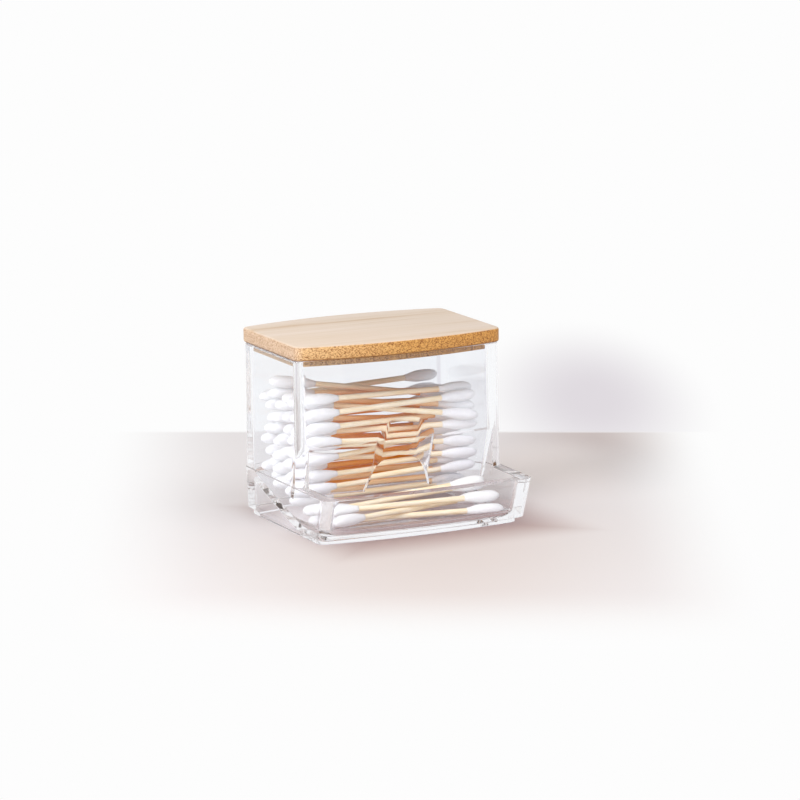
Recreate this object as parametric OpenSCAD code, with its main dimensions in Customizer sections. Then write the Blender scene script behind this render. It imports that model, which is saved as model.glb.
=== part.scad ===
// Cotton swab dispenser: a thick clear moulded box with a lift-off bamboo lid,
// a sloping floor that feeds the swabs under the front wall into a flared tray,
// and the swabs themselves.
// Front faces -Y, width runs along X, origin at the bottom centre.

/* [Clear box] */
// Room between each end of a swab and the hopper's side wall, which sets the width
end_room = 2.3; // [2:0.1:8]
// Outside depth of the hopper along its side walls
hopper_d = 52; // [44:1:70]
// How far the tray rim stands out in front of the hopper
tray_reach = 26.7; // [18:0.1:34]
// Height of the hopper rim, which carries the lid
box_h = 69.5; // [62:0.5:100]
// Height of the tray rim
rim_h = 19.4; // [17:0.2:24]
// Wall thickness
wall = 4.8; // [3:0.1:5.6]
// How far the hopper's front and back walls bulge
hopper_bow = 5; // [2:0.5:8]
// How far the tray lip bulges
lip_bow = 3.4; // [2:0.2:8]
// Outer radius of the upright corners
corner_r = 4; // [3:0.1:8]
// How much the hopper narrows on each side by its rim
hopper_draft = 0.3; // [0:0.1:1.5]
// Ledge between the hopper walls and the tray rim
ledge = 0.4; // [0.2:0.1:1]

/* [Tray] */
// Thickness of the tray floor
floor_t = 4; // [3.6:0.1:5.5]
// How far the lip leans in from the rim down to the foot
lip_lean = 6.2; // [1:0.2:7]
// How far the side and back walls lean in below the rim
side_lean = 0.5; // [0:0.1:1.6]
// Height of the set-back foot
foot_h = 2.6; // [1.6:0.1:3]
// Set-back of the foot at the sides and back
foot_in = 1.6; // [0.5:0.1:2.2]
// Set-back of the foot under the lip
foot_in_front = 4; // [1:0.5:6]
// Radius between the tray's floor and its walls
floor_r = 3.5; // [1:0.5:5]

/* [Feed] */
// Height of the sloping floor where it meets the back wall
ramp_back_h = 18.5; // [15:0.5:24]
// Thickness of the sloping floor
ramp_t = 3.6; // [2.5:0.1:5]
// Where the sloping floor runs out, measured forward from the front wall's inside
ramp_toe = 0.5; // [0:0.5:4]
// Height of the gap under the hopper's front wall
feed_gap = 10.2; // [9:0.1:13]
// Height where the hopper's front wall starts to lean back towards its lower edge
break_h = 35; // [31:0.5:40]
// Lean of the front wall's outside below that height, as depth over height
lean_out = 0.4; // [0.3:0.02:0.46]
// Lean of its inside, less than the outside, so that the wall thins downwards
lean_in = 0.27; // [0.2:0.01:0.3]
// Half-width of the finger opening at its foot
finger_half = 13.9; // [10:0.1:20]
// Height of the finger opening's top on the outside
finger_top = 44.7; // [40:0.1:52]
// Height of its top on the inside
finger_top_in = 27.7; // [24:0.1:32]
// Radius of the finger opening's shoulders
finger_r = 11; // [8:0.5:11]

/* [Bamboo lid] */
// Thickness of the board
lid_t = 5.8; // [4:0.1:10]
// How far the board stands out past the hopper's front and back
lid_over = 1.3; // [0.2:0.1:2]
// Extra bulge of the board's long edges
lid_bow_extra = 0.8; // [0:0.1:1.5]
// Height of the plug that drops inside the rim
plug_h = 3; // [2:0.5:6]
// Clearance round the plug
plug_gap = 0.4; // [0.2:0.05:0.8]
// Rounding of the board's edges
lid_ease = 0.9; // [0.3:0.1:1.5]

/* [Swabs] */
// Length over the cotton tips
swab_len = 75; // [66:1:84]
// Stick diameter
stick_d = 2.3; // [1.8:0.1:2.6]
// Cotton bud diameter
bud_d = 5; // [4.4:0.1:5.6]
// Cotton bud length
bud_len = 15; // [12:0.5:18]
// Cotton beyond the end of the stick
cotton_cap = 1.6; // [1:0.1:2.5]
// Space left between swabs in the heap
swab_gap = 0.16; // [0.12:0.02:0.3]
// Glue line between stick and cotton
glue_gap = 0.03; // [0.02:0.01:0.06]
// Share of the hopper's height that the heap fills
fill = 0.5; // [0.36:0.02:0.58]
// Largest sideways slant of a swab from end to end
slant = 12; // [1:0.5:13]
// Pull towards swabs that lie with one end high
tilt_pull = 0.2; // [0:0.05:0.4]
// Which heap is dealt
deal = 29; // [1:1:60]

/* [Hidden] */
layers = 8;

plastic = [0.86, 0.89, 0.92, 0.35];
bamboo = [0.87, 0.73, 0.53];
birch = [0.93, 0.87, 0.76];
cotton = [0.95, 0.95, 0.96];

corner_steps = 6;
face_steps = 14;
inner_r = 1.6;
hollow_edge = 2;
swab_clear = 0.6;
tries = 24;

// Plan lines along Y. The whole depth, bulges and the lid's overhang at the back included, is
// centred on the origin.
lid_back = max(0, lid_over + lid_bow_extra - ledge - hopper_draft);
total_d = hopper_d + tray_reach + hopper_bow + lip_bow + lid_back;
back_y = total_d / 2 - hopper_bow - lid_back;
front_y = back_y - hopper_d;
lip_y = front_y - tray_reach;
inner_half = swab_len / 2 + end_room;
half_w = inner_half + wall + ledge;
feed_z = floor_t + feed_gap;

// Radius of an arc from its half chord and its rise.
function arc_r(half, rise) = (half * half + rise * rise) / (2 * rise);

// Outline with straight sides, bulging front and back, and round corners,
// counter-clockwise from the front right corner.
function barrel(half, y_front, y_back, rise_f, rise_b, r) =
  let (
    rf = arc_r(half, rise_f), cf = y_front - rise_f + rf,
    rb = arc_r(half, rise_b), cb = y_back + rise_b - rb,
    xc = half - r,
    yf = cf - sqrt(pow(rf - r, 2) - xc * xc),
    yb = cb + sqrt(pow(rb - r, 2) - xc * xc),
    af = atan2(yf - cf, xc), ab = atan2(yb - cb, xc)
  )
  concat(
    [for (i = [0:corner_steps]) let (a = af * (1 - i / corner_steps)) [xc + r * cos(a), yf + r * sin(a)]],
    [for (i = [0:corner_steps]) let (a = ab * i / corner_steps) [xc + r * cos(a), yb + r * sin(a)]],
    [for (i = [1:face_steps - 1]) let (a = ab + (180 - 2 * ab) * i / face_steps) [rb * cos(a), cb + rb * sin(a)]],
    [for (i = [0:corner_steps]) let (a = 180 - ab * (1 - i / corner_steps)) [-xc + r * cos(a), yb + r * sin(a)]],
    [for (i = [0:corner_steps]) let (a = 180 - af * i / corner_steps) [-xc + r * cos(a), yf + r * sin(a)]],
    [for (i = [1:face_steps - 1]) let (a = 180 - af + (180 + 2 * af) * i / face_steps) [rf * cos(a), cf + rf * sin(a)]]
  );

// Solid through a stack of outlines, each [height, points].
module loft(rings) {
  n = len(rings[0][1]);
  last = len(rings) - 1;
  polyhedron(
    points = [for (ring = rings) for (p = ring[1]) [p[0], p[1], ring[0]]],
    faces = concat(
      [[for (i = [0:n - 1]) i]],
      [[for (i = [0:n - 1]) last * n + n - 1 - i]],
      [for (k = [0:last - 1]) for (i = [0:n - 1]) let (j = (i + 1) % n) [k * n + i, (k + 1) * n + i, (k + 1) * n + j]],
      [for (k = [0:last - 1]) for (i = [0:n - 1]) let (j = (i + 1) % n) [k * n + i, (k + 1) * n + j, k * n + j]]
    ),
    convexity = 6
  );
}

// Hopper outline at a height, moved in from its outer face by an inset. Below the break its
// front leans back.
function hopper_ring(z, inset, lean) =
  let (d = inset + hopper_draft * max(0, z - rim_h) / (box_h - rim_h))
  [z, barrel(half_w - ledge - d, front_y + d + lean * max(0, break_h - z), back_y - ledge - d,
    hopper_bow, hopper_bow, max(corner_r - inset, inner_r))];

// Tray and base outline at a height: the walls lean in and the lip more so towards the foot.
function base_ring(z, inset, r) =
  let (low = (rim_h - z) / (rim_h - foot_h), d = inset + side_lean * low)
  [z, barrel(half_w - d, lip_y + inset + lip_lean * low, back_y - d, lip_bow, hopper_bow, r)];

function foot_ring(z, side, front) =
  let (d = side + side_lean)
  [z, barrel(half_w - d, lip_y + lip_lean + front, back_y - d, lip_bow, hopper_bow, corner_r)];

// Radius of the upright inside corners of the tray and base.
room_r = 2 * inner_r;

// Sloping floor: its top line runs from the back wall down to the tray floor.
ramp_back_y = back_y + hopper_bow;
ramp_front_y = front_y + wall - hopper_bow - ramp_toe;
ramp_slope = atan2(ramp_back_h - floor_t, back_y - wall - ledge - ramp_front_y);
ramp_drop = ramp_t / cos(ramp_slope);
function ramp_z(y) = floor_t + (y - ramp_front_y) * tan(ramp_slope);
hollow_y = ramp_front_y + (hollow_edge + ramp_drop - floor_t) / tan(ramp_slope);

/* Clear box */

// Outside of the hopper, from the lower edge of its front wall to its rim. The side walls
// keep their full depth where the front leans back.
module hopper_block() {
  loft([for (z = [feed_z, break_h, box_h]) hopper_ring(z, 0, lean_out)]);
  intersection() {
    loft([for (z = [feed_z, break_h]) hopper_ring(z, 0, 0)]);
    difference() {
      translate([-half_w, -total_d, 0]) cube([2 * half_w, 2 * total_d, box_h]);
      translate([-inner_half, -total_d, -1]) cube([2 * inner_half, 2 * total_d, box_h + 2]);
    }
  }
}

// Room inside the hopper.
module hopper_room() loft([for (z = [feed_z - 1, break_h, box_h, box_h + 1]) hopper_ring(z, wall, lean_in)]);

// Tray and base, solid, on a set-back foot.
module base_block() {
  foot_top = foot_h + 0.2;
  loft([base_ring(foot_h, 0, corner_r), base_ring(rim_h, 0, corner_r)]);
  loft([foot_ring(0, foot_in, foot_in_front), foot_ring(foot_top, foot_in, foot_in_front)]);
}

// Room of the tray and of the feed, with a rounded edge round the floor.
module base_room(top) {
  inset = wall + ledge;
  steps = 4;
  loft(concat(
    [for (i = [0:steps]) let (q = 90 * i / steps)
      base_ring(floor_t + floor_r * (1 - cos(q)), inset + floor_r * (1 - sin(q)), room_r)],
    [base_ring(top, inset, room_r)]
  ));
}

// Wedge across the whole width, under a line that slopes from front to back.
module wedge(y_front, drop) {
  rotate([90, 0, 90]) linear_extrude(2 * half_w + 2, center = true)
    polygon([
      [y_front, -1], [y_front, ramp_z(y_front) - drop],
      [ramp_back_y, ramp_z(ramp_back_y) - drop], [ramp_back_y, -1]
    ]);
}

// Hollow below the sloping floor, open at the underside as the mould leaves it.
module ramp_hollow() {
  intersection() {
    loft([base_ring(-1, wall + ledge, room_r), base_ring(rim_h, wall + ledge, room_r)]);
    wedge(hollow_y, ramp_drop);
  }
}

// Finger opening's outline on one upright plane, from its top down past the wall's edge.
module finger_arch(y, top, depth) {
  flare = 1.2;
  shoulder = finger_half - finger_r - flare;
  foot_z = feed_z - 1;
  foot_rise = 2;
  translate([0, y + depth, 0]) rotate([90, 0, 0]) linear_extrude(depth) intersection() {
    hull() {
      for (side = [-1, 1]) translate([side * shoulder, top - finger_r]) circle(r = finger_r, $fn = 32);
      translate([-finger_half, foot_z]) square([2 * finger_half, foot_rise]);
    }
    translate([-finger_half, foot_z]) square([2 * finger_half, top]);
  }
}

// Finger opening: a scoop that slopes down through the front wall, and the way through below it.
module finger_opening() {
  outer_y = front_y - hopper_bow;
  inner_y = outer_y + wall + lean_in * (break_h - finger_top_in);
  rise = (finger_top - finger_top_in) / (inner_y - outer_y);
  hull() {
    finger_arch(outer_y - 1, finger_top + rise, 0.1);
    finger_arch(inner_y, finger_top_in, 0.1);
  }
  finger_arch(inner_y, finger_top_in, 2 * wall);
}

module clear_box() color(plastic) {
  difference() {
    union() {
      difference() {
        base_block();
        difference() {
          base_room(rim_h + 1);
          wedge(ramp_front_y, 0);
        }
      }
      difference() {
        hopper_block();
        hopper_room();
      }
    }
    ramp_hollow();
    finger_opening();
  }
}

/* Bamboo lid */

// Board outline, moved in from its edge by an easing.
function board_ring(z, inset) =
  let (d = hopper_draft + inset)
  [z, barrel(half_w - ledge - d, front_y + d - lid_over, back_y - ledge - d + lid_over,
    hopper_bow + lid_bow_extra, hopper_bow + lid_bow_extra, corner_r - inset)];

module bamboo_lid() color(bamboo) {
  steps = 3;
  loft(concat(
    [for (i = [0:steps]) let (q = 90 * i / steps)
      board_ring(box_h + lid_ease * (1 - cos(q)), lid_ease * (1 - sin(q)))],
    [for (i = [steps:-1:0]) let (q = 90 * i / steps)
      board_ring(box_h + lid_t - lid_ease * (1 - cos(q)), lid_ease * (1 - sin(q)))]
  ));
  loft([for (z = [box_h - plug_h, box_h + lid_t / 2]) hopper_ring(z, wall + plug_gap, 0)]);
}

/* Swabs */

stick_r = stick_d / 2;
bud_r = bud_d / 2;
bud_x = (swab_len - bud_len) / 2;
tip_x = swab_len / 2;
end_play = max(0, end_room - side_lean - hopper_draft - swab_clear);

// Places along a swab where its height over its neighbours is tested, with the reach there.
bud_reach = bud_d + swab_gap;
stick_reach = stick_d + swab_gap;
inner_bud_x = tip_x - bud_len - end_play;
sections = concat(
  [for (side = [-1, 1]) for (x = [tip_x - bud_r / 2, bud_x, inner_bud_x]) [side * x, bud_reach]],
  [for (share = [-0.75, -0.4, 0, 0.4, 0.75]) [share * inner_bud_x, stick_reach]]
);

// Height or depth of a swab at x, from its values at its two bud centres.
function along(left, right, x) = (left + right) / 2 + (right - left) * x / (2 * bud_x);

// Height of the floor under a bud: the flat tray floor or the sloping floor behind it.
function floor_z(y) = max(floor_t + bud_r, ramp_z(y) + bud_r / cos(ramp_slope)) + swab_gap / 2;

// Height where a bud inside the hopper rests against the front wall, where that leans.
function wall_z(y) =
  y >= heap_front - swab_gap && y < heap_front + lean_in * (break_h - feed_z)
    ? break_h - (y - heap_front) / lean_in : 0;

// Lowest height that clears the floor and every swab already there, at one section.
function lowest(section, y, heap) = max(concat(
  [section[1] > stick_reach ? max(floor_z(y), wall_z(y)) : floor_t],
  [for (s = heap) let (dy = y - along(s[0], s[1], section[0])) if (abs(dy) < section[1])
    along(s[2], s[3], section[0]) + sqrt(section[1] * section[1] - dy * dy)]
));

// A swab laid across the heap comes to rest on the points either side of its middle.
function settle(yl, yr, shift, heap) =
  let (
    h = [for (s = sections) [s[0], lowest(s, along(yl, yr, s[0]), heap)]],
    mid = max(concat(
      [for (p = h) if (p[0] == 0) p[1]],
      [for (p = h) if (p[0] < 0) for (q = h) if (q[0] > 0) (p[1] * q[0] - q[1] * p[0]) / (q[0] - p[0])]
    )),
    low = max([for (p = h) if (p[0] > 0) (p[1] - mid) / p[0]]),
    high = min([for (p = h) if (p[0] < 0) (p[1] - mid) / p[0]]),
    slope = low > 0 ? low : high < 0 ? high : 0
  )
  [yl, yr, mid - slope * bud_x, mid + slope * bud_x, shift];

// Of several swabs the one that lies lowest, less a share of its rise from left to right.
function place_cost(s, pull) = (s[2] + s[3]) / 2 - pull * (s[3] - s[2]);
function lowest_of(list, pull) =
  let (best = min([for (s = list) place_cost(s, pull)])) [for (s = list) if (place_cost(s, pull) == best) s][0];

// Y of the hopper's inside faces at the bud tips, by the narrower rim.
rim_inset = ledge + hopper_draft + wall;
inner_arc = arc_r(half_w - rim_inset, hopper_bow);
tip_bulge = hopper_bow - inner_arc + sqrt(inner_arc * inner_arc - tip_x * tip_x);
heap_front = front_y + rim_inset - ledge - tip_bulge + bud_r + swab_gap;
heap_back = back_y - rim_inset + tip_bulge - bud_r - swab_gap;

// One swab is tried at several places across the hopper, and stays where it suits best.
function deal_one(k, heap) =
  let (
    r = rands(0, 1, 2 * tries + 2, deal * 1000 + k),
    shift = (2 * r[2 * tries] - 1) * end_play,
    pull = (2 * r[2 * tries + 1] - 1) * tilt_pull,
    options = [for (i = [0:tries - 1])
      let (
        w = (r[i] - 0.5) * slant,
        edge = abs(w) * tip_x / bud_x,
        mid = heap_front + edge + (i + r[tries + i]) / tries * (heap_back - heap_front - 2 * edge)
      )
      settle(mid - w, mid + w, shift, heap)]
  )
  lowest_of(options, pull);

function fill_heap(n, heap, k = 0) = k == n ? heap : fill_heap(n, concat(heap, [deal_one(k, heap)]), k + 1);

// Tray swabs: where their left and right buds lie, from the lip (0) to under the front wall (1).
tray_places = [[0.7, 0], [0, 0.8], [0.45, 0.25], [1.05, 1]];
tray_front = lip_y + lip_lean + wall + ledge + bud_r + swab_clear;
tray_back = front_y + wall - bud_r;
function tray_y(share) = tray_front + share * (tray_back - tray_front);

function fill_tray(heap = [], k = 0) =
  k == len(tray_places) ? heap
    : fill_tray(concat(heap, [settle(tray_y(tray_places[k][0]), tray_y(tray_places[k][1]), 0, heap)]), k + 1);

tray = fill_tray();
heap_area = (heap_back - heap_front + bud_d) * (box_h - plug_h - (floor_t + ramp_back_h) / 2);
per_layer = floor(fill * heap_area / (layers * bud_d * bud_d * 1.02));
heap = fill_heap(layers * per_layer, tray);

module lay(s) {
  yaw = atan2(s[1] - s[0], 2 * bud_x);
  pitch = atan2(s[3] - s[2], 2 * bud_x);
  translate([s[4], (s[0] + s[1]) / 2, (s[2] + s[3]) / 2]) rotate([0, -pitch, yaw]) children();
}

module stick() color(birch) {
  half = tip_x - cotton_cap - glue_gap;
  rotate([0, 90, 0]) cylinder(r = stick_r, h = 2 * half, center = true, $fn = 20);
}

// Cotton wound on one end: a slim neck, a straight middle and a round tip.
function bud_profile(t) =
  bud_r * (t < 0.4 ? 0.54 + 0.46 * sin(90 * t / 0.4) : t < 0.74 ? 1 : sqrt(1 - pow((t - 0.74) / 0.26, 2)));

module bud() {
  shares = [0, 0.12, 0.26, 0.4, 0.74, 0.84, 0.92, 0.97];
  bore = stick_r + glue_gap;
  seat = bud_len - cotton_cap;
  translate([tip_x - bud_len, 0, 0]) rotate([0, 90, 0]) rotate_extrude($fn = 24)
    polygon(concat(
      [[bore, 0]],
      [for (t = shares) [bud_profile(t), t * bud_len]],
      [[0, bud_len], [0, seat], [bore, seat]]
    ));
}

module buds() color(cotton) {
  bud();
  mirror([1, 0, 0]) bud();
}

module heap_sticks(k) for (i = [0:per_layer - 1]) lay(heap[len(tray) + (k - 1) * per_layer + i]) stick();
module heap_buds(k) for (i = [0:per_layer - 1]) lay(heap[len(tray) + (k - 1) * per_layer + i]) buds();

clear_box();
bamboo_lid();
heap_sticks(1);  // heap_sticks_1
heap_buds(1);  // heap_buds_1
heap_sticks(2);  // heap_sticks_2
heap_buds(2);  // heap_buds_2
heap_sticks(3);  // heap_sticks_3
heap_buds(3);  // heap_buds_3
heap_sticks(4);  // heap_sticks_4
heap_buds(4);  // heap_buds_4
heap_sticks(5);  // heap_sticks_5
heap_buds(5);  // heap_buds_5
heap_sticks(6);  // heap_sticks_6
heap_buds(6);  // heap_buds_6
heap_sticks(7);  // heap_sticks_7
heap_buds(7);  // heap_buds_7
heap_sticks(8);  // heap_sticks_8
heap_buds(8);  // heap_buds_8
lay(tray[0]) stick();  // tray_stick_1
lay(tray[0]) buds();  // tray_buds_1
lay(tray[1]) stick();  // tray_stick_2
lay(tray[1]) buds();  // tray_buds_2
lay(tray[2]) stick();  // tray_stick_3
lay(tray[2]) buds();  // tray_buds_3
lay(tray[3]) stick();  // tray_stick_4
lay(tray[3]) buds();  // tray_buds_4
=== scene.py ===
"""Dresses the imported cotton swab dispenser: clear moulded box, bamboo lid and cotton swabs.

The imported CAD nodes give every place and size. Each class below builds and dresses one
sub-assembly around them, and the stage and camera follow the photograph.
"""

import logging
import math
from dataclasses import dataclass, field
from enum import Enum

import bmesh
import bpy
import numpy as np
from mathutils import Matrix, Vector, noise


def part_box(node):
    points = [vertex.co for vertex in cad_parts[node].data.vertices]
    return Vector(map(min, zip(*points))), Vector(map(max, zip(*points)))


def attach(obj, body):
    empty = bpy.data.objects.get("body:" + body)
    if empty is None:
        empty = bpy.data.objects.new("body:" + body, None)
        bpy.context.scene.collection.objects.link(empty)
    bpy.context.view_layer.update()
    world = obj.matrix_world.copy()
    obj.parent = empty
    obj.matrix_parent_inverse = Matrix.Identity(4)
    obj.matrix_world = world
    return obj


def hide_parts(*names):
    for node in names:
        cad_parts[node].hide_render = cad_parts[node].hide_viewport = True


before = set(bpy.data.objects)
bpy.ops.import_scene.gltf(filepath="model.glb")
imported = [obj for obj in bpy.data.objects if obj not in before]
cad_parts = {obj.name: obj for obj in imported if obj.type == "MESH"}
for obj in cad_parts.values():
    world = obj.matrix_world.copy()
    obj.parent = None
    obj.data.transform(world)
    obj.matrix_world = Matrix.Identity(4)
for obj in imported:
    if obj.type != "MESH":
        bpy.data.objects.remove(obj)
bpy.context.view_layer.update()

MM = 0.001
log = logging.getLogger("scene")


class Body(Enum):
    """The two rigid bodies of the dispenser."""

    BOX = "box"
    LID = "lid"


class Slot(Enum):
    """The record's material slots."""

    PLASTIC = "clear_plastic"
    BAMBOO = "bamboo"
    BIRCH = "birch"
    COTTON = "cotton"


# ---------------------------------------------------------------- materials


def linear(hex_colour: str, alpha: float = 1.0) -> tuple[float, float, float, float]:
    """Turns an sRGB hex colour into linear light.

    Args:
        hex_colour: six hex digits, with or without a leading hash.
        alpha: opacity to append.

    Returns:
        Linear red, green, blue and alpha.
    """
    digits = hex_colour.lstrip("#")
    parts = [int(digits[i : i + 2], 16) / 255 for i in (0, 2, 4)]
    red, green, blue = (c / 12.92 if c <= 0.04045 else ((c + 0.055) / 1.055) ** 2.4 for c in parts)
    return red, green, blue, alpha


def add_node(
    tree: bpy.types.NodeTree, kind: str, settings: dict | None = None, inputs: dict | None = None
) -> bpy.types.Node:
    """Adds one node with its settings and what goes into its sockets.

    Args:
        tree: node tree that gets the node.
        kind: Blender's name for the node's type.
        settings: properties of the node by name.
        inputs: values or output sockets by input name or number.

    Returns:
        The new node.
    """
    node = tree.nodes.new(kind)
    for name, value in (settings or {}).items():
        setattr(node, name, value)
    for name, value in (inputs or {}).items():
        if isinstance(value, bpy.types.NodeSocket):
            tree.links.new(value, node.inputs[name])
        else:
            node.inputs[name].default_value = value
    return node


def new_material(name: str) -> tuple[bpy.types.Material, bpy.types.NodeTree]:
    """Makes an empty material.

    Args:
        name: the material's name.

    Returns:
        The material and its cleared node tree.
    """
    material = bpy.data.materials.new(name)
    material.use_nodes = True
    material.node_tree.nodes.clear()
    return material, material.node_tree


def set_ramp(ramp: bpy.types.Node, stops: tuple[tuple[float, str], ...]) -> bpy.types.Node:
    """Fills a colour ramp.

    Args:
        ramp: colour ramp node.
        stops: places from 0 to 1, each with its hex colour.

    Returns:
        The same node.
    """
    elements = ramp.color_ramp.elements
    while len(elements) < len(stops):
        elements.new(0.5)
    for element, (place, colour) in zip(elements, stops):
        element.position = place
        element.color = linear(colour)
    return ramp


@dataclass(frozen=True)
class TreeBuilder:
    """Short calls for the nodes of one node tree."""

    tree: bpy.types.NodeTree

    def place(self) -> bpy.types.NodeSocket:
        """Returns the object coordinates."""
        return add_node(self.tree, "ShaderNodeTexCoord").outputs["Object"]

    def split(self, vector: bpy.types.NodeSocket) -> tuple[bpy.types.NodeSocket, ...]:
        """Returns the X, Y and Z of a vector."""
        return tuple(add_node(self.tree, "ShaderNodeSeparateXYZ", inputs={0: vector}).outputs)

    def do(self, kind: str, *values: object) -> bpy.types.NodeSocket:
        """Returns the result of one maths node."""
        inputs = dict(enumerate(values))
        return add_node(self.tree, "ShaderNodeMath", {"operation": kind}, inputs).outputs[0]

    def ease(self, value: bpy.types.NodeSocket, low: float, high: float) -> bpy.types.NodeSocket:
        """Returns a smooth step that goes from 0 at low to 1 at high."""
        if low > high:
            return self.do("SUBTRACT", 1.0, self.ease(value, high, low))
        limits = {"Value": value, "From Min": low, "From Max": high}
        settings = {"interpolation_type": "SMOOTHSTEP"}
        return add_node(self.tree, "ShaderNodeMapRange", settings, limits).outputs[0]

    def along(
        self, place: bpy.types.NodeSocket, turn_deg: float
    ) -> tuple[bpy.types.NodeSocket, bpy.types.NodeSocket]:
        """Returns how far a place lies to the right and to the back, in axes turned clockwise."""
        turn = math.radians(turn_deg)
        axes = ((math.cos(turn), -math.sin(turn), 0.0), (math.sin(turn), math.cos(turn), 0.0))
        right, back = (
            add_node(self.tree, "ShaderNodeVectorMath", {"operation": "DOT_PRODUCT"}, {0: place, 1: axis})
            for axis in axes
        )
        return right.outputs["Value"], back.outputs["Value"]

    def spot(
        self,
        axes: tuple[bpy.types.NodeSocket, bpy.types.NodeSocket],
        centre: tuple[float, float],
        reach: tuple[float, float],
    ) -> bpy.types.NodeSocket:
        """Adds nodes for a soft oval patch.

        Args:
            axes: two coordinates.
            centre: the patch's middle in metres.
            reach: how far it goes along each axis.

        Returns:
            A socket with 1 in the middle and 0 outside.
        """
        parts = [
            self.do("DIVIDE", self.do("SUBTRACT", axis, middle), size)
            for axis, middle, size in zip(axes, centre, reach)
        ]
        squares = [self.do("MULTIPLY", part, part) for part in parts]
        return self.ease(self.do("SQRT", self.do("ADD", *squares)), 1.0, 0.1)

    def blend(
        self, factor: object, first: object, second: object, kind: str = "MIX"
    ) -> bpy.types.NodeSocket:
        """Returns a colour made of two, each given as a socket or in linear light."""
        settings = {"data_type": "RGBA", "blend_type": kind}
        inputs = {"Factor": factor, "A": first, "B": second}
        return add_node(self.tree, "ShaderNodeMix", settings, inputs).outputs["Result"]

    def stretch(
        self, place: bpy.types.NodeSocket, scale: tuple[float, float, float]
    ) -> bpy.types.NodeSocket:
        """Returns coordinates in which a pattern is drawn out along an axis."""
        return add_node(self.tree, "ShaderNodeMapping", inputs={"Vector": place, "Scale": scale}).outputs[0]

    def pattern(
        self, place: bpy.types.NodeSocket, size_mm: float, detail: float, roughness: float = 0.5
    ) -> bpy.types.NodeSocket:
        """Returns an uneven pattern with lumps of a real size."""
        inputs = {"Vector": place, "Scale": 1 / (size_mm * MM), "Detail": detail, "Roughness": roughness}
        return add_node(self.tree, "ShaderNodeTexNoise", inputs=inputs).outputs["Fac"]

    def ramp(
        self, value: bpy.types.NodeSocket, stops: tuple[tuple[float, str], ...]
    ) -> bpy.types.NodeSocket:
        """Returns the colour of a ramp at a value."""
        ramp = add_node(self.tree, "ShaderNodeValToRGB", inputs={"Fac": value})
        return set_ramp(ramp, stops).outputs["Color"]

    def relief(self, height: bpy.types.NodeSocket, strength: float, depth_mm: float) -> bpy.types.NodeSocket:
        """Returns the normal of a surface with a fine relief."""
        inputs = {"Strength": strength, "Distance": depth_mm * MM, "Height": height}
        return add_node(self.tree, "ShaderNodeBump", inputs=inputs).outputs["Normal"]

    def principled(self, inputs: dict[str, object]) -> bpy.types.NodeSocket:
        """Returns a principled shader."""
        return add_node(self.tree, "ShaderNodeBsdfPrincipled", inputs=inputs).outputs[0]

    def emission(self, colour: object) -> bpy.types.NodeSocket:
        """Returns a shader that shows a colour as it is, without lamps."""
        inputs = {"Color": colour, "Strength": 1.0}
        return add_node(self.tree, "ShaderNodeEmission", inputs=inputs).outputs[0]

    def mix(self, factor: object, first: object, second: object) -> bpy.types.NodeSocket:
        """Returns a mix of two shaders."""
        return add_node(self.tree, "ShaderNodeMixShader", inputs={0: factor, 1: first, 2: second}).outputs[0]

    def on_paths(self, *names: str) -> bpy.types.NodeSocket:
        """Returns 1 for light paths of the named kinds and 0 for others."""
        path = add_node(self.tree, "ShaderNodeLightPath").outputs
        found = path[names[0]]
        for name in names[1:]:
            found = self.do("MAXIMUM", found, path[name])
        return found

    def surface(self, shader: bpy.types.NodeSocket, kind: str = "Material") -> None:
        """Makes a shader the tree's output."""
        add_node(self.tree, "ShaderNodeOutput" + kind, inputs={"Surface": shader})


SEEN_PATHS = ("Is Camera Ray", "Is Glossy Ray", "Is Transmission Ray")


@dataclass(frozen=True)
class ClearPolystyrene:
    """Clear polystyrene, injection moulded against polished steel: glass-clear, with bright
    edges and faint ripples from the flow of the melt."""

    ior: float = 1.5
    roughness: float = 0.0
    tint: str = "#FBFCFE"
    ripple_mm: float = 14.0
    ripple_depth_mm: float = 0.02
    held_stops: tuple[tuple[float, str], ...] = (
        (0.0, "#FEFEFF"),
        (0.55, "#FCFCFE"),
        (0.85, "#DEDEE5"),
        (1.0, "#9A9AA6"),
    )

    def build(self) -> bpy.types.Material:
        """Returns the material. Lamps shine straight through it onto the swabs."""
        material, tree = new_material("clear_polystyrene")
        nodes = TreeBuilder(tree)
        ripple = nodes.pattern(nodes.place(), self.ripple_mm, 1.0)
        body = nodes.principled(
            {
                "Base Color": linear(self.tint),
                "Roughness": self.roughness,
                "IOR": self.ior,
                "Transmission Weight": 1.0,
                "Normal": nodes.relief(ripple, 1.0, self.ripple_depth_mm),
            }
        )
        lamp_paths = nodes.on_paths("Is Shadow Ray", "Is Diffuse Ray")
        glance = add_node(tree, "ShaderNodeLayerWeight", inputs={"Blend": 0.5}).outputs["Facing"]
        held = nodes.ramp(glance, self.held_stops)
        through = add_node(tree, "ShaderNodeBsdfTransparent", inputs={"Color": held}).outputs[0]
        nodes.surface(nodes.mix(lamp_paths, body, through))
        return material


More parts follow.
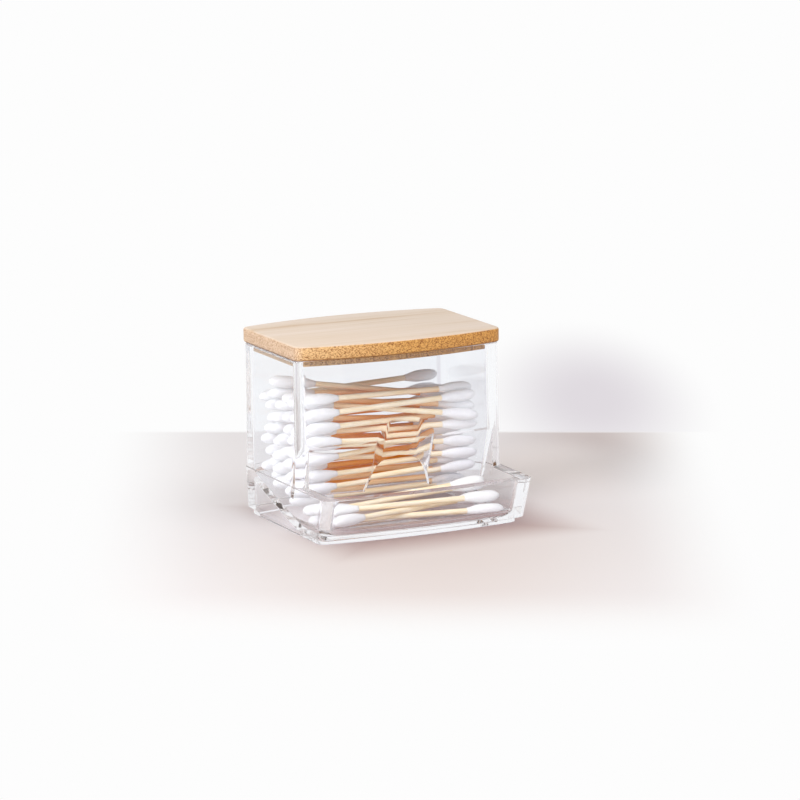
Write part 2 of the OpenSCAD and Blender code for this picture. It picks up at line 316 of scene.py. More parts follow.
@dataclass(frozen=True)
class Bamboo:
    """Laminated bamboo, sanded and thinly oiled: fine fibre lines along the board, and dark
    fibre ends speckled over the edges. The edges are painted lighter at the left end, where the
    light falls, and darker to the right, and faces that look down are painted in dark shade."""

    fibre_mm: float = 1.1
    fibre_stretch: tuple[float, float, float] = (0.035, 1.0, 1.0)
    fibre_share: float = 0.55
    band_mm: float = 6.0
    level_range: tuple[float, float] = (0.45, 1.1)
    speckle_mm: float = 0.42
    speckle_stretch: tuple[float, float, float] = (0.6, 1.0, 1.0)
    speckle_stops: tuple[tuple[float, str], ...] = ((0.38, "#A07F60"), (0.5, "#EFE3D6"), (0.6, "#FFFFFF"))
    light: str = "#DFCEC1"
    mid: str = "#D5C0AA"
    dark: str = "#BE9A6F"
    # painted shade for faces that look down
    under_shade: str = "#8E5E30"
    # edge colour along the board: painted light at the left end, where the window lamp falls, and painted
    # shade towards the right
    edge_light_to_shade_stops: tuple[tuple[float, str], ...] = (
        (0.0, "#D6BEA6"),
        (0.035, "#DBB786"),
        (0.5, "#D6A45C"),
        (1.0, "#D29A4E"),
    )
    top_from: tuple[float, float] = (0.35, 0.85)
    under_shade_from: tuple[float, float] = (-0.2, -0.8)
    roughness: float = 0.48
    ior: float = 1.46
    relief_mm: float = 0.08

    def build(self) -> bpy.types.Material:
        """Returns the material."""
        material, tree = new_material("oiled_bamboo")
        nodes = TreeBuilder(tree)
        place = nodes.place()
        lines = nodes.stretch(place, self.fibre_stretch)
        fibres = nodes.pattern(lines, self.fibre_mm, 3.0, 0.6)
        bands = nodes.pattern(lines, self.band_mm, 2.0)
        both = nodes.do("MULTIPLY_ADD", fibres, self.fibre_share, bands)
        low, high = self.level_range
        level = add_node(
            tree, "ShaderNodeMapRange", inputs={"Value": both, "From Min": low, "From Max": high}
        ).outputs[0]
        face = nodes.ramp(level, ((0.0, self.dark), (0.35, self.mid), (1.0, self.light)))
        normal = add_node(tree, "ShaderNodeNewGeometry").outputs["Normal"]
        facing = nodes.split(normal)[2]
        # faces that look down take the painted dark shade
        edge = nodes.blend(nodes.ease(facing, *self.under_shade_from), self.edge(nodes, place), linear(self.under_shade))
        body = nodes.principled(
            {
                "Base Color": nodes.blend(nodes.ease(facing, *self.top_from), edge, face),
                "Roughness": self.roughness,
                "IOR": self.ior,
                "Normal": nodes.relief(fibres, 0.5, self.relief_mm),
            }
        )
        nodes.surface(body)
        return material

    def edge(self, nodes: TreeBuilder, place: bpy.types.NodeSocket) -> bpy.types.NodeSocket:
        """Adds nodes for the colour of the edges: speckled, with painted light at the left end and painted
        shade towards the right.

        Args:
            nodes: builder for the material's tree.
            place: object coordinates.

        Returns:
            A socket with the speckled colour.
        """
        specks = nodes.pattern(nodes.stretch(place, self.speckle_stretch), self.speckle_mm, 2.0, 0.7)
        (left, _, _), (right, _, _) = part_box("bamboo_lid")
        share = nodes.do("DIVIDE", nodes.do("SUBTRACT", nodes.split(place)[0], left), right - left)
        plain, speckled = nodes.ramp(share, self.edge_light_to_shade_stops), nodes.ramp(specks, self.speckle_stops)
        return nodes.blend(1.0, plain, speckled, "MULTIPLY")


@dataclass(frozen=True)
class Birch:
    """Peeled birch, turned into round sticks: pale cream with faint long grain. Deep in the
    heap the wood is painted a warm orange, a painted glow that stands in for light passed on
    between the sticks."""

    light: str = "#FCF1DA"
    dark: str = "#F5DFB6"
    # painted glow for sticks deep in the heap
    painted_deep_glow: str = "#F0A032"
    grain_mm: float = 1.0
    grain_stretch: tuple[float, float, float] = (0.08, 1.0, 1.0)
    deep_mm: tuple[float, float] = (4.5, 14.0)
    lean: float = 0.27
    lean_top_mm: float = 35.0
    roughness: float = 0.6
    ior: float = 1.46
    relief_mm: float = 0.05

    def depth(self, nodes: TreeBuilder, place: bpy.types.NodeSocket) -> bpy.types.NodeSocket:
        """Adds nodes that measure how deep a point lies in the heap.

        Args:
            nodes: builder for the material's tree.
            place: object coordinates.

        Returns:
            A socket from 0 at the heap's faces to 1 deep inside.
        """
        boxes = [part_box(name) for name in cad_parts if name.startswith("heap_")]
        front, back = min(low[1] for low, _ in boxes), max(high[1] for _, high in boxes)
        top = max(high[2] for _, high in boxes)
        _, y, z = nodes.split(place)
        below = nodes.do("MAXIMUM", nodes.do("SUBTRACT", self.lean_top_mm * MM, z), 0.0)
        inward = nodes.do("SUBTRACT", y, front)
        from_front = nodes.do("SUBTRACT", inward, nodes.do("MULTIPLY", below, self.lean))
        from_back = nodes.do("SUBTRACT", back, y)
        from_top = nodes.do("SUBTRACT", top, z)
        depth = nodes.do("MINIMUM", nodes.do("MINIMUM", from_front, from_back), from_top)
        return nodes.ease(depth, self.deep_mm[0] * MM, self.deep_mm[1] * MM)

    def build(self) -> bpy.types.Material:
        """Returns the material."""
        material, tree = new_material("peeled_birch")
        nodes = TreeBuilder(tree)
        place = nodes.place()
        grain = nodes.pattern(nodes.stretch(place, self.grain_stretch), self.grain_mm, 3.0, 0.6)
        colour = nodes.ramp(grain, ((0.3, self.dark), (0.62, self.light)))
        body = nodes.principled(
            {
                # the deeper a point lies in the heap, the more it takes the painted glow
                "Base Color": nodes.blend(self.depth(nodes, place), colour, linear(self.painted_deep_glow)),
                "Roughness": self.roughness,
                "IOR": self.ior,
                "Normal": nodes.relief(grain, 0.4, self.relief_mm),
            }
        )
        nodes.surface(body)
        return material


@dataclass(frozen=True)
class CottonWool:
    """Bleached cotton wool, wound and pressed onto the stick: matt white with a soft fuzz of
    fine fibres."""

    light: str = "#F7F8FA"
    shade: str = "#EDEEF1"
    fibre_mm: float = 0.6
    roughness: float = 0.95
    ior: float = 1.35
    relief_mm: float = 0.25

    def build(self) -> bpy.types.Material:
        """Returns the material."""
        material, tree = new_material("cotton_wool")
        nodes = TreeBuilder(tree)
        fibres = nodes.pattern(nodes.place(), self.fibre_mm, 4.0, 0.75)
        body = nodes.principled(
            {
                "Base Color": nodes.ramp(fibres, ((0.3, self.shade), (0.6, self.light))),
                "Roughness": self.roughness,
                "IOR": self.ior,
                "Sheen Weight": 0.4,
                "Sheen Roughness": 0.6,
                "Normal": nodes.relief(fibres, 0.7, self.relief_mm),
            }
        )
        nodes.surface(body)
        return material


# ---------------------------------------------------------------- helpers


def finish_piece(
    obj: bpy.types.Object,
    material: bpy.types.Material,
    body: Body,
    replaced: list[str],
) -> bpy.types.Object:
    """Gives a piece its material and ties it to the frame.

    Args:
        obj: the finished mesh object.
        material: its material.
        body: body it rides on.
        replaced: CAD nodes that it stands for.

    Returns:
        The same object.
    """
    obj.data.materials.clear()
    obj.data.materials.append(material)
    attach(obj, body.value)
    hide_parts(*replaced)
    faces = len(obj.data.polygons)
    place = (obj.name, faces, body.value, len(replaced))
    log.info("%s: %d faces, rides on %s, replaces %d nodes", *place)
    return obj


def mesh_object(name: str, shape: bmesh.types.BMesh) -> bpy.types.Object:
    """Turns a bmesh into a linked object at the origin.

    Args:
        name: object and mesh name.
        shape: the bmesh, which is freed.

    Returns:
        The new object, smooth shaded.
    """
    mesh = bpy.data.meshes.new(name)
    shape.to_mesh(mesh)
    shape.free()
    mesh.shade_smooth()
    obj = bpy.data.objects.new(name, mesh)
    bpy.context.scene.collection.objects.link(obj)
    return obj


def merged_copy(node: str, merge_mm: float, flat_deg: float) -> bmesh.types.BMesh:
    """Copies a CAD node's mesh with its loose triangles joined into clean faces.

    Args:
        node: CAD node to copy.
        merge_mm: distance within which points become one.
        flat_deg: angle under which neighbouring faces become one.

    Returns:
        The joined mesh.
    """
    shape = bmesh.new()
    shape.from_mesh(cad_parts[node].data)
    bmesh.ops.remove_doubles(shape, verts=shape.verts, dist=merge_mm * MM)
    bmesh.ops.dissolve_degenerate(shape, edges=shape.edges, dist=merge_mm * MM)
    bmesh.ops.dissolve_limit(
        shape, angle_limit=math.radians(flat_deg), verts=shape.verts, edges=shape.edges, delimit={"NORMAL"}
    )
    return shape


BEVEL_LAYER = "bevel_weight_edge"
PARALLEL = 0.9  # edges whose directions agree this well run side by side
LEAST_WEIGHT = 0.15  # rounding that even the narrowest face keeps
ROOM_SHARE = 0.36  # share of a narrow face that one edge's rounding may take


def weigh_edges(shape: bmesh.types.BMesh, sharp_deg: float, width_mm: float) -> None:
    """Marks the sharp edges for rounding, and less so where a face beside them is narrow.

    Args:
        shape: mesh whose edges are marked.
        sharp_deg: edges sharper than this are rounded.
        width_mm: full width of the rounding.
    """
    layer = shape.edges.layers.float.new(BEVEL_LAYER)
    for edge in shape.edges:
        if len(edge.link_faces) == 2 and edge.calc_face_angle() > math.radians(sharp_deg):
            edge[layer] = 1.0
    sharp = [e for e in shape.edges if e[layer] > 0]
    for edge in sharp:
        middle = (edge.verts[0].co + edge.verts[1].co) / 2
        line = (edge.verts[1].co - edge.verts[0].co).normalized()
        for face in edge.link_faces:
            for other in face.edges:
                if other is edge or other[layer] == 0 or set(other.verts) & set(edge.verts):
                    continue
                span = other.verts[1].co - other.verts[0].co
                if abs(span.normalized().dot(line)) < PARALLEL:
                    continue
                share = max(0.0, min(1.0, (middle - other.verts[0].co).dot(span) / span.length_squared))
                gap = (other.verts[0].co + span * share - middle).length / (width_mm * MM)
                edge[layer] = max(LEAST_WEIGHT, min(edge[layer], ROOM_SHARE * gap))


def round_edges(obj: bpy.types.Object, width_mm: float, segments: int) -> None:
    """Rounds an object's marked edges, and keeps the bevelled mesh.

    Args:
        obj: object to round.
        width_mm: bevel width.
        segments: faces across each rounding.
    """
    bevel = obj.modifiers.new("rounded_edges", "BEVEL")
    bevel.width = width_mm * MM
    bevel.segments = segments
    bevel.limit_method = "WEIGHT"
    bevel.use_clamp_overlap = False
    rounded = bpy.data.meshes.new_from_object(obj.evaluated_get(bpy.context.evaluated_depsgraph_get()))
    obj.modifiers.clear()
    obj.data = rounded


SLICES_PER_DEG = 2  # how finely a bulge's facets are sorted by the way they face
LEAST_SLICE = 0.04  # slices under this share of the largest are left out
SMOOTH_DEG = 50  # faces within this angle share a normal where they meet


@dataclass
class Surface:
    """A moulded surface: one flat face, or the facets of one shallow bulge."""

    spots: np.ndarray
    normals: np.ndarray

    def normal_at(self, spot: Vector) -> Vector:
        """Returns the smooth normal at a point, read between the facets that lie either side."""
        if len(self.spots) == 1:
            return Vector(self.normals[0])
        return Vector([np.interp(spot.x, self.spots, self.normals[:, k]) for k in range(3)]).normalized()


def is_wide(face: bmesh.types.BMFace, area_mm2: float, width_mm: float) -> bool:
    """Tells whether a face is large and wide enough to set its own normal."""
    area = face.calc_area()
    return area > area_mm2 * MM * MM and area / max(e.calc_length() for e in face.edges) > width_mm * MM


def find_surfaces(
    shape: bmesh.types.BMesh, area_mm2: float, width_mm: float, blend_deg: float
) -> dict[int, Surface]:
    """Groups a mesh's large faces into moulded surfaces.

    Args:
        shape: mesh to read.
        area_mm2: faces larger than this start a surface.
        width_mm: faces wider than this start a surface.
        blend_deg: neighbours within this angle belong to the same bulge.

    Returns:
        The surface of each face that belongs to one, by face index.
    """
    groups: dict[int, Surface] = {}
    limit = math.radians(blend_deg)
    for start in sorted(shape.faces, key=lambda f: -f.calc_area()):
        if start.index in groups or not is_wide(start, area_mm2, width_mm):
            continue
        members, queue = {start}, [start]
        while queue:
            face = queue.pop()
            for edge in face.edges:
                for other in edge.link_faces:
                    close = other not in members and other.index not in groups
                    if close and other.normal.angle(face.normal, 9.0) < limit:
                        members.add(other)
                        queue.append(other)
        bins: dict[int, list[bmesh.types.BMFace]] = {}
        for face in members:
            turn = math.degrees(math.atan2(face.normal.x, abs(face.normal.y) + 1e-9))
            bins.setdefault(round(turn * SLICES_PER_DEG), []).append(face)
        rows = []
        for faces in bins.values():
            total = sum(f.calc_area() for f in faces)
            spot = sum((f.calc_center_median() * f.calc_area() for f in faces), Vector()) / total
            normal = sum((f.normal * f.calc_area() for f in faces), Vector()).normalized()
            rows.append((spot.x, total, *normal))
        rows = sorted(r for r in rows if r[1] > LEAST_SLICE * max(q[1] for q in rows))
        table = np.array(rows)
        surface = Surface(table[:, 0], table[:, 2:])
        groups.update({face.index: surface for face in members})
    return groups


def true_normals(
    obj: bpy.types.Object, area_mm2: float = 25.0, width_mm: float = 2.0, blend_deg: float = 4.0
) -> None:
    """Gives a mesh the normals of its moulded surfaces, so that light bends evenly through it.

    Args:
        obj: object whose mesh gets them.
        area_mm2: faces larger than this start a surface.
        width_mm: faces wider than this start a surface.
        blend_deg: facets within this angle make one bulge.
    """
    shape = bmesh.new()
    shape.from_mesh(obj.data)
    shape.faces.ensure_lookup_table()
    surfaces = find_surfaces(shape, area_mm2, width_mm, blend_deg)
    close = math.cos(math.radians(SMOOTH_DEG))
    normals = []
    for face in shape.faces:
        own = surfaces.get(face.index)
        for loop in face.loops:
            if own:
                normals.append(own.normal_at(loop.vert.co))
                continue
            near = [f for f in loop.vert.link_faces if f.normal.dot(face.normal) > close]
            held = [surfaces[f.index].normal_at(loop.vert.co) for f in near if f.index in surfaces]
            if held:
                normals.append(max(held, key=lambda n: n.dot(face.normal)))
            else:
                normals.append(sum((f.normal * f.calc_area() for f in near), Vector()).normalized())
    shape.free()
    obj.data.normals_split_custom_set(normals)


# ---------------------------------------------------------------- the dispenser


@dataclass
class ClearBox:
    """The clear moulding: hopper walls, tray, sloping floor and foot."""

    edge_mm: float = 0.35
    rim_mm: float = 0.9
    sharp_deg: float = 30.0
    merge_mm: float = 0.1
    flat_deg: float = 0.6
    crisp_mm: tuple[tuple[Vector, Vector], ...] = (
        (Vector((-14.2, -22.0, 13.0)), Vector((14.2, -9.0, 47.5))),
        (Vector((-39.9, -5.0, -1.0)), Vector((39.9, 40.0, 18.5))),
    )
    finish: ClearPolystyrene = field(default_factory=ClearPolystyrene)

    def build(self) -> bpy.types.Object:
        """Returns the moulding, its sharp edges eased as a mould leaves it, except round the finger opening
        and the hollow below.
        """
        shape = merged_copy("clear_box", self.merge_mm, self.flat_deg)
        weigh_edges(shape, self.sharp_deg, self.edge_mm)
        self.keep_crisp(shape)
        self.ease_rim(shape)
        obj = mesh_object("clear_box_moulding", shape)
        round_edges(obj, self.rim_mm, 3)
        true_normals(obj)
        return finish_piece(obj, self.finish.build(), Body.BOX, ["clear_box"])

    def keep_crisp(self, shape: bmesh.types.BMesh) -> None:
        """Leaves the edges of the finger opening and of the hollow below crisp.

        Args:
            shape: the moulding, with its edges marked.
        """
        layer = shape.edges.layers.float[BEVEL_LAYER]
        for edge in shape.edges:
            for low, high in self.crisp_mm:
                if all(low[k] * MM < v.co[k] < high[k] * MM for v in edge.verts for k in range(3)):
                    edge[layer] = 0.0

    def ease_rim(self, shape: bmesh.types.BMesh) -> None:
        """Rounds the rim's outer edge more than the others, so that it catches the light.

        Args:
            shape: the moulding, with its edges marked.
        """
        layer = shape.edges.layers.float[BEVEL_LAYER]
        top = max(v.co.z for v in shape.verts)
        for edge in shape.edges:
            middle = (edge.verts[0].co + edge.verts[1].co) / 2
            walls = [f.normal for f in edge.link_faces if abs(f.normal.z) < 0.5]
            on_rim = all(v.co.z > top - 0.05 * MM for v in edge.verts)
            outer = on_rim and len(walls) == 1 and walls[0].x * middle.x + walls[0].y * middle.y > 0
            if not outer:
                edge[layer] *= self.edge_mm / self.rim_mm


@dataclass
class BambooLid:
    """The bamboo board with the plug that drops inside the rim."""

    finish: Bamboo = field(default_factory=Bamboo)

    def build(self) -> bpy.types.Object:
        """Returns the lid, smooth over its eased edges."""
        obj = mesh_object("bamboo_lid_board", merged_copy("bamboo_lid", 0.01, 0.5))
        obj.data.set_sharp_from_angle(angle=math.radians(38))
        return finish_piece(obj, self.finish.build(), Body.LID, ["bamboo_lid"])


@dataclass(frozen=True)
class Axis:
    """Where one swab's stick lies."""

    centre: Vector
    along: Vector
    half: float

    def turn(self) -> Matrix:
        """Returns the matrix that lays a swab made along X in its place."""
        side = Vector((0, 0, 1)).cross(self.along).normalized()
        up = self.along.cross(side)
        turned = Matrix((self.along, side, up)).transposed().to_4x4()
        return Matrix.Translation(self.centre) @ turned


def stick_axes(node: str) -> list[Axis]:
    """Reads where the sticks of a CAD node lie.

    Args:
        node: CAD node with one or more separate sticks.

    Returns:
        One axis for each stick.
    """
    shape = bmesh.new()
    shape.from_mesh(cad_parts[node].data)
    bmesh.ops.remove_doubles(shape, verts=shape.verts, dist=0.001 * MM)
    left = set(shape.verts)
    axes = []
    while left:
        island, queue = [], [left.pop()]
        while queue:
            vert = queue.pop()
            island.append(vert.co.copy())
            for edge in vert.link_edges:
                other = edge.other_vert(vert)
                if other in left:
                    left.remove(other)
                    queue.append(other)
        low = min(island, key=lambda p: p.x).x
        high = max(island, key=lambda p: p.x).x
        ends = []
        for test in (lambda p: p.x < (low + high) / 2, lambda p: p.x > (low + high) / 2):
            side = [p for p in island if test(p)]
            ends.append(sum(side, Vector()) / len(side))
        along = (ends[1] - ends[0]).normalized()
        reach = [(p - ends[0]).dot(along) for p in island]
        centre = ends[0] + along * (min(reach) + max(reach)) / 2
        axes.append(Axis(centre, along, (max(reach) - min(reach)) / 2))
    shape.free()
    return sorted(axes, key=lambda a: (a.centre.z, a.centre.y))


@dataclass
class Swabs:
    """The swabs of one stick node and one buds node."""

    sticks_node: str
    buds_node: str
    birch: bpy.types.Material
    cotton: bpy.types.Material
    stick_r_mm: float = 1.15
    bud_r_mm: float = 2.5
    bud_mm: float = 15.0
    cap_mm: float = 1.63
    stick_sides: int = 14
    stick_rings: int = 8
    bud_sides: int = 20
    stick_uneven: float = 0.05
    bud_lumps: float = 0.07
    bud_winding: float = 0.018

    def profile(self) -> list[tuple[float, float]]:
        """Returns the bud's outline from neck to tip, as distance along it and radius in mm."""
        outline = [(0.0, 0.5), (0.05, 0.56), (0.12, 0.66), (0.2, 0.78), (0.3, 0.9), (0.42, 0.98)]
        outline += [(0.55, 1.0), (0.68, 0.99), (0.78, 0.94), (0.86, 0.83), (0.93, 0.64), (0.98, 0.36)]
        return [(share * self.bud_mm, radius * self.bud_r_mm) for share, radius in outline]

    def one_stick(self, axis: Axis, seed: float) -> bmesh.types.BMesh:
        """Makes one stick in its place.

        Args:
            axis: where it lies.
            seed: offset that makes its unevenness its own.

        Returns:
            A round stick, slightly uneven as peeled wood is.
        """
        shape = bmesh.new()
        bmesh.ops.create_cone(
            shape,
            cap_ends=True,
            segments=self.stick_sides,
            radius1=self.stick_r_mm * MM,
            radius2=self.stick_r_mm * MM,
            depth=2 * axis.half,
            matrix=Matrix.Rotation(math.pi / 2, 4, "Y"),
        )
        long_edges = [e for e in shape.edges if abs(e.verts[0].co.x - e.verts[1].co.x) > axis.half]
        bmesh.ops.subdivide_edges(shape, edges=long_edges, cuts=self.stick_rings, use_grid_fill=False)
        for vert in shape.verts:
            spot = Vector((vert.co.x * 60, seed, 0))
            swell = 1 - self.stick_uneven * (0.5 + 0.5 * noise.noise(spot))
            vert.co.y *= swell
            vert.co.z *= swell
        bmesh.ops.transform(shape, matrix=axis.turn(), verts=shape.verts)
        return shape

    def one_bud(self, axis: Axis, side: int, seed: float) -> bmesh.types.BMesh:
        """Makes one cotton bud in its place.

        Args:
            axis: the stick it is wound on.
            side: which end, -1 or 1.
            seed: offset that makes its lumps its own.

        Returns:
            A closed bud with the soft lumps of wound cotton.
        """
        shape = bmesh.new()
        tip = axis.half + self.cap_mm * MM
        neck = tip - self.bud_mm * MM
        points = [Vector((neck + x * MM, 0, r * MM)) for x, r in self.profile()]
        points = [Vector((neck, 0, 0))] + points + [Vector((tip, 0, 0))]
        verts = [shape.verts.new(p) for p in points]
        edges = [shape.edges.new(pair) for pair in zip(verts, verts[1:])]
        bmesh.ops.spin(
            shape,
            geom=verts + edges,
            cent=(0, 0, 0),
            axis=(1, 0, 0),
            angle=2 * math.pi,
            steps=self.bud_sides,
            use_merge=True,
            use_duplicate=False,
        )
        bmesh.ops.remove_doubles(shape, verts=shape.verts, dist=0.002 * MM)
        for vert in shape.verts:
            share = (vert.co.x - neck) / (self.bud_mm * MM)
            angle = math.atan2(vert.co.z, vert.co.y)
            wound = math.sin(3 * angle + 9 * share + seed)
            lump = noise.noise(Vector((share * 4, math.cos(angle) * 1.5, math.sin(angle) * 1.5 + seed)))
            swell = 1 - self.bud_lumps * (0.5 + 0.5 * lump)
            swell -= self.bud_winding * (1 + wound) * min(1, 3 * share)
            vert.co.y *= swell
            vert.co.z *= swell
        if side < 0:
            turned = Matrix.Rotation(math.pi, 3, "Z")
            bmesh.ops.rotate(shape, cent=(0, 0, 0), matrix=turned, verts=shape.verts)
        bmesh.ops.recalc_face_normals(shape, faces=shape.faces)
        bmesh.ops.transform(shape, matrix=axis.turn(), verts=shape.verts)
        return shape

    def join(self, name: str, shapes: list[bmesh.types.BMesh]) -> bpy.types.Object:
        """Joins separate shapes into one object.

        Args:
            name: the object's name.
            shapes: the shapes, which are freed.

        Returns:
            The object.
        """
        whole = bmesh.new()
        part = bpy.data.meshes.new("part")
        for shape in shapes:
            shape.to_mesh(part)
            shape.free()
            whole.from_mesh(part)
        bpy.data.meshes.remove(part)
        return mesh_object(name, whole)

    def build(self) -> list[bpy.types.Object]:
        """Returns the stick piece and the cotton piece."""
        axes = stick_axes(self.sticks_node)
        start = sum(map(ord, self.sticks_node))
        sticks = [self.one_stick(axis, start + 1.7 * k) for k, axis in enumerate(axes)]
        buds = [
            self.one_bud(axis, side, start + 2.3 * k + side)
            for k, axis in enumerate(axes)
            for side in (-1, 1)
        ]
        wood = self.join(self.sticks_node + "_birch", sticks)
        wood.data.set_sharp_from_angle(angle=math.radians(50))
        wool = self.join(self.buds_node + "_cotton", buds)
        return [
            finish_piece(wood, self.birch, Body.BOX, [self.sticks_node]),
            finish_piece(wool, self.cotton, Body.BOX, [self.buds_node]),
        ]


@dataclass
class Filling:
    """All swabs: the heap in the hopper and the few in the tray."""

    birch: Birch = field(default_factory=Birch)
    cotton: CottonWool = field(default_factory=CottonWool)

    def build(self) -> list[bpy.types.Object]:
        """Returns every swab piece."""
        birch, cotton = self.birch.build(), self.cotton.build()
        pieces = []
        for sticks in sorted(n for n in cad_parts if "_stick" in n):
            buds = sticks.replace("_sticks_", "_buds_").replace("_stick_", "_buds_")
            pieces += Swabs(sticks, buds, birch, cotton).build()
        return pieces


# ---------------------------------------------------------------- stage and camera


@dataclass(frozen=True)
class Lamp:
    """A soft square lamp aimed at the part."""

    name: str
    power_w: float
    size_m: float
    place: tuple[float, float, float]
    colour: str
    aim: tuple[float, float, float] = (0.0, 0.0, 0.03)

    def build(self) -> bpy.types.Object:
        """Returns the lamp. It isn't seen through the clear plastic."""
        data = bpy.data.lights.new(self.name, "AREA")
        data.shape, data.size, data.energy = "SQUARE", self.size_m, self.power_w
        data.color = linear(self.colour)[:3]
        obj = bpy.data.objects.new(self.name, data)
        obj.location = self.place
        obj.rotation_euler = (Vector(self.aim) - Vector(self.place)).to_track_quat("-Z", "Y").to_euler()
        obj.visible_transmission = False
        bpy.context.scene.collection.objects.link(obj)
        return obj


@dataclass(frozen=True)
class Patch:
    """A soft oval patch of colour, in metres along the picture's right and back, which paints shade or light
    on the table or wall.
    """

    centre: tuple[float, float]
    reach: tuple[float, float]
    colour: str


@dataclass
class Stage:
    """A pale table top against a white wall, in soft light, with shadows and light painted on
    the table top and a painted shade on the wall.
    """

    reach_m: float = 6.0
    drop_mm: float = 0.05
    picture_deg: float = 24.95
    wall_deg: float = 29.95
    wall_m: float = 0.171
    wall_soft_m: float = 0.003
    pale: str = "#E3DFE0"
    # painted floor tones: a darker warm tint over the middle and front, a painted shadow far right behind
    # the part near the wall, and a painted pool of light right behind the part that eases the lamps' cast
    # shadow
    shade_and_light_patches: tuple[Patch, ...] = (
        Patch((0.015, -0.05), (0.11, 0.24), "#DAD0CD"),
        Patch((0.1, 0.165), (0.07, 0.11), "#CFC4C2"),
        Patch((0.066, 0.085), (0.05, 0.08), "#F2E9E6"),
    )
    # painted shadow on the table under the part, with its middle and reach below
    under_shade: str = "#B7A29F"
    under_shade_mm: tuple[float, float] = (8.0, -3.0)
    under_shade_reach_m: tuple[float, float] = (0.062, 0.03)
    # painted pool of light on the table under the part's left half, where lamp light falls through the clear
    # hollow
    painted_light_pool: Patch = Patch((-0.024, 0.004), (0.032, 0.042), "#FFFFFF")
    fade_left_m: tuple[float, float] = (-0.125, -0.062)
    fade_right_m: tuple[float, float] = (0.14, 0.09)
    fade_front_m: tuple[float, float] = (-0.2, -0.115)
    far: str = "#FDFDFD"
    wall_shade: Patch = Patch((0.094, 0.24), (0.06, 0.22), "#E0DBE0")
    slate: str = "#A9AFC4"
    card_place: tuple[float, float] = (0.15, -0.32)
    card_half_m: float = 0.14
    card_rise_mm: float = 0.5
    world_light: float = 0.62
    backdrop: str = "#FCFCFD"
    lamps: tuple[Lamp, ...] = (
        Lamp("window", 14.0, 0.7, (-1.1, -0.45, 0.75), "#FFFEFC"),
        Lamp("ceiling", 4.0, 0.9, (0.3, -0.8, 1.3), "#FFFDFA"),
        Lamp("front", 2.0, 0.6, (-0.35, -1.2, 0.3), "#FFFCF6"),
    )

    def floor_colour(
        self, nodes: TreeBuilder, place: bpy.types.NodeSocket
    ) -> tuple[bpy.types.NodeSocket, bpy.types.NodeSocket]:
        """Adds nodes for the table top's colour, with its painted shadows, painted light and painted shade
        on the wall.

        Args:
            nodes: builder for the material's tree.
            place: object coordinates.

        Returns:
            Sockets with the colour and with how far it has faded into the white surroundings.
        """
        axes = nodes.along(place, self.picture_deg)
        back = nodes.along(place, self.wall_deg)[1]
        beyond = nodes.ease(back, self.wall_m - self.wall_soft_m, self.wall_m + self.wall_soft_m)
        kept = nodes.do("SUBTRACT", 1.0, beyond)
        fades = ((axes[0], self.fade_left_m), (axes[0], self.fade_right_m), (back, self.fade_front_m))
        for value, fade in fades:
            kept = nodes.do("MULTIPLY", kept, nodes.ease(value, *fade))
        faded = nodes.do("SUBTRACT", 1.0, kept)
        colour = linear(self.pale)
        # each patch paints its shade or light over the table's colour
        for patch in self.shade_and_light_patches:
            colour = nodes.blend(nodes.spot(axes, patch.centre, patch.reach), colour, linear(patch.colour))
        offsets = [
            nodes.do("ABSOLUTE", nodes.do("SUBTRACT", side, middle * MM))
            for side, middle in zip(nodes.split(place), self.under_shade_mm)
        ]
        # painted shadow under the part, strongest near its middle
        painted_shadow_mask = nodes.ease(nodes.do("MAXIMUM", *offsets), *self.under_shade_reach_m)
        colour = nodes.blend(painted_shadow_mask, colour, linear(self.under_shade))
        # painted light under the part's left half
        painted_light_pool = nodes.spot(axes, self.painted_light_pool.centre, self.painted_light_pool.reach)
        colour = nodes.blend(painted_light_pool, colour, linear(self.painted_light_pool.colour))
        colour = nodes.blend(faded, colour, linear(self.far))
        shade = nodes.do("MULTIPLY", beyond, nodes.spot(axes, self.wall_shade.centre, self.wall_shade.reach))
        return nodes.blend(shade, colour, linear(self.wall_shade.colour)), faded

    def floor_material(self) -> bpy.types.Material:
        """Returns the table's material: pale warm grey with painted shadows and painted light,
        that fades to white away from the part and behind the far edge of the table top."""
        material, tree = new_material("pale_table_top")
        nodes = TreeBuilder(tree)
        colour, faded = self.floor_colour(nodes, nodes.place())
        matt = add_node(tree, "ShaderNodeBsdfDiffuse", inputs={"Color": colour}).outputs[0]
        share = nodes.do("MULTIPLY", nodes.on_paths(*SEEN_PATHS), faded)
        nodes.surface(nodes.mix(share, matt, nodes.emission(colour)))
        return material

    def sheet(
        self, name: str, half_m: float, place: tuple[float, float, float], material: bpy.types.Material
    ) -> bpy.types.Object:
        """Adds a flat square to the stage.

        Args:
            name: the object's name.
            half_m: half of its edge.
            place: its middle in metres.
            material: its material.

        Returns:
            The object.
        """
        shape = bmesh.new()
        bmesh.ops.create_grid(shape, x_segments=1, y_segments=1, size=half_m)
        bmesh.ops.translate(shape, vec=place, verts=shape.verts)
        obj = mesh_object(name, shape)
        obj.data.materials.append(material)
        return obj

    def card(self) -> bpy.types.Object:
        """Returns the pale slate card beside the part: a sheet that glows with its own colour, no lamp.
        It lies out of the picture and is seen only through the plastic, where it gives the walls a faint
        cool tint that stands in for darker surroundings."""
        material, tree = new_material("slate_card")
        nodes = TreeBuilder(tree)
        nodes.surface(nodes.emission(linear(self.slate)))
        place = (*self.card_place, self.card_rise_mm * MM)
        obj = self.sheet("slate_card", self.card_half_m, place, material)
        obj.visible_camera = obj.visible_diffuse = obj.visible_shadow = obj.visible_glossy = False
        return obj

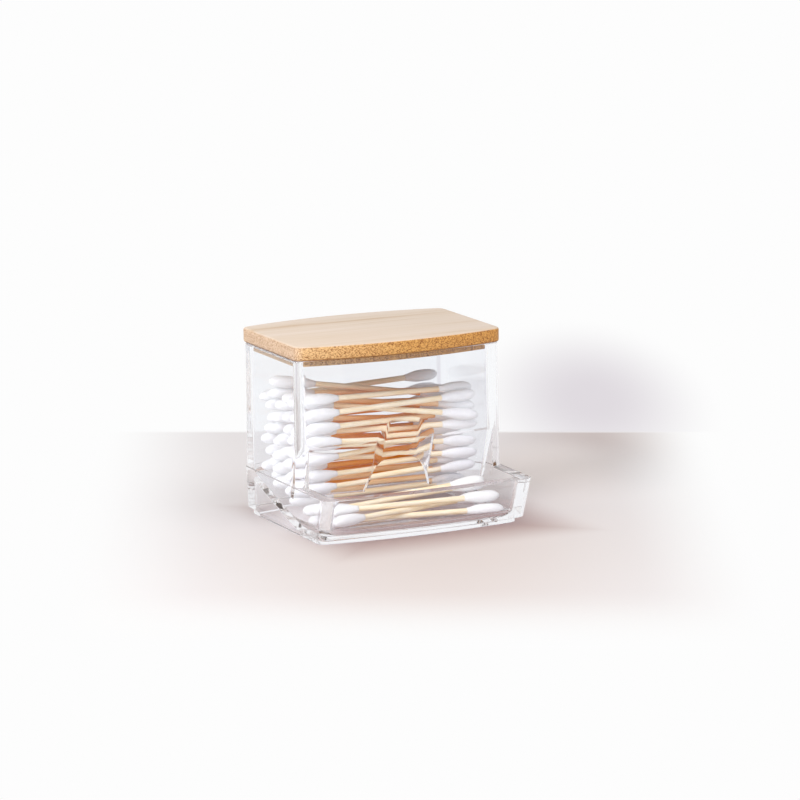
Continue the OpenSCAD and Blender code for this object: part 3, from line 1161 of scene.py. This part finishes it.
    def world(self) -> None:
        """Sets the white surroundings and their soft light."""
        world = bpy.data.worlds.new("white_studio")
        bpy.context.scene.world = world
        world.use_nodes = True
        tree = world.node_tree
        tree.nodes.clear()
        nodes = TreeBuilder(tree)
        light, backdrop = (
            add_node(tree, "ShaderNodeBackground", inputs={"Color": colour, "Strength": strength}).outputs[0]
            for colour, strength in ((linear("#FFFFFF"), self.world_light), (linear(self.backdrop), 1.0))
        )
        nodes.surface(nodes.mix(nodes.on_paths(*SEEN_PATHS), light, backdrop), "World")

    def build(self) -> None:
        """Sets up the floor, the card, the surroundings and the lamps."""
        self.sheet("table_top", self.reach_m, (0, 0, -self.drop_mm * MM), self.floor_material())
        self.card()
        self.world()
        for lamp in self.lamps:
            lamp.build()
        log.info("stage: table top, slate card, white surroundings and %d soft lamps", len(self.lamps))


@dataclass
class PhotoCamera:
    """The camera at the photograph's angle and framing."""

    target_mm: tuple[float, float, float] = (0.0, -0.7, 34.0)
    side_deg: float = 24.95
    rise_deg: float = 11.55
    distance_mm: float = 1580.0
    roll_deg: float = -1.0
    lens_mm: float = 180.0
    sensor_mm: float = 36.0
    picture_px: float = 800.0
    target_px: tuple[float, float] = (385.7, 434.6)

    def build(self) -> bpy.types.Object:
        """Returns the camera. It aims beside the target, so that it needs no shift."""
        side, rise = math.radians(self.side_deg), math.radians(self.rise_deg)
        level = math.cos(rise)
        back = Vector((-math.sin(side) * level, -math.cos(side) * level, math.sin(rise)))
        target = Vector(self.target_mm)
        place = target + back * self.distance_mm
        right = Vector((math.cos(side), -math.sin(side), 0))
        up = back.cross(right)
        roll = math.radians(self.roll_deg)
        cos, sin = math.cos(roll), math.sin(roll)
        right, up = right * cos + up * sin, up * cos - right * sin
        focal_px = self.lens_mm / self.sensor_mm * self.picture_px
        step = self.distance_mm / focal_px
        middle = self.picture_px / 2
        aside, above = middle - self.target_px[0], self.target_px[1] - middle
        aim = target + right * aside * step + up * above * step
        back = (place - aim).normalized()
        right = (right - back * right.dot(back)).normalized()
        up = back.cross(right)
        data = bpy.data.cameras.new("photo_camera")
        data.lens, data.sensor_width = self.lens_mm, self.sensor_mm
        data.clip_start, data.clip_end = 0.05, 20
        obj = bpy.data.objects.new("photo_camera", data)
        turned = Matrix((right, up, back)).transposed().to_4x4()
        obj.matrix_world = Matrix.Translation(place * MM) @ turned
        bpy.context.scene.collection.objects.link(obj)
        bpy.context.scene.camera = obj
        log.info("camera: %.0f mm lens at %.2f m", self.lens_mm, self.distance_mm * MM)
        return obj


def let_light_through(clear: int = 80, diffuse: int = 14, transparent: int = 24) -> None:
    """Lets light paths run on through the thick clear plastic and between the swabs.

    Args:
        clear: how often a path may pass or mirror at a clear wall.
        diffuse: how often it may bounce between matt faces.
        transparent: how many clear walls a lamp's light may cross.
    """
    cycles = bpy.context.scene.cycles
    cycles.max_bounces = cycles.transmission_bounces = cycles.glossy_bounces = clear
    cycles.diffuse_bounces, cycles.transparent_max_bounces = diffuse, transparent


def main() -> None:
    """Builds the camera, the stage and each sub-assembly in order."""
    logging.basicConfig(level=logging.INFO, format="%(name)s: %(message)s")
    bpy.context.scene.view_settings.view_transform = "Standard"
    let_light_through()
    PhotoCamera().build()
    Stage().build()
    ClearBox().build()
    BambooLid().build()
    Filling().build()


if __name__ == "__main__":
    main()
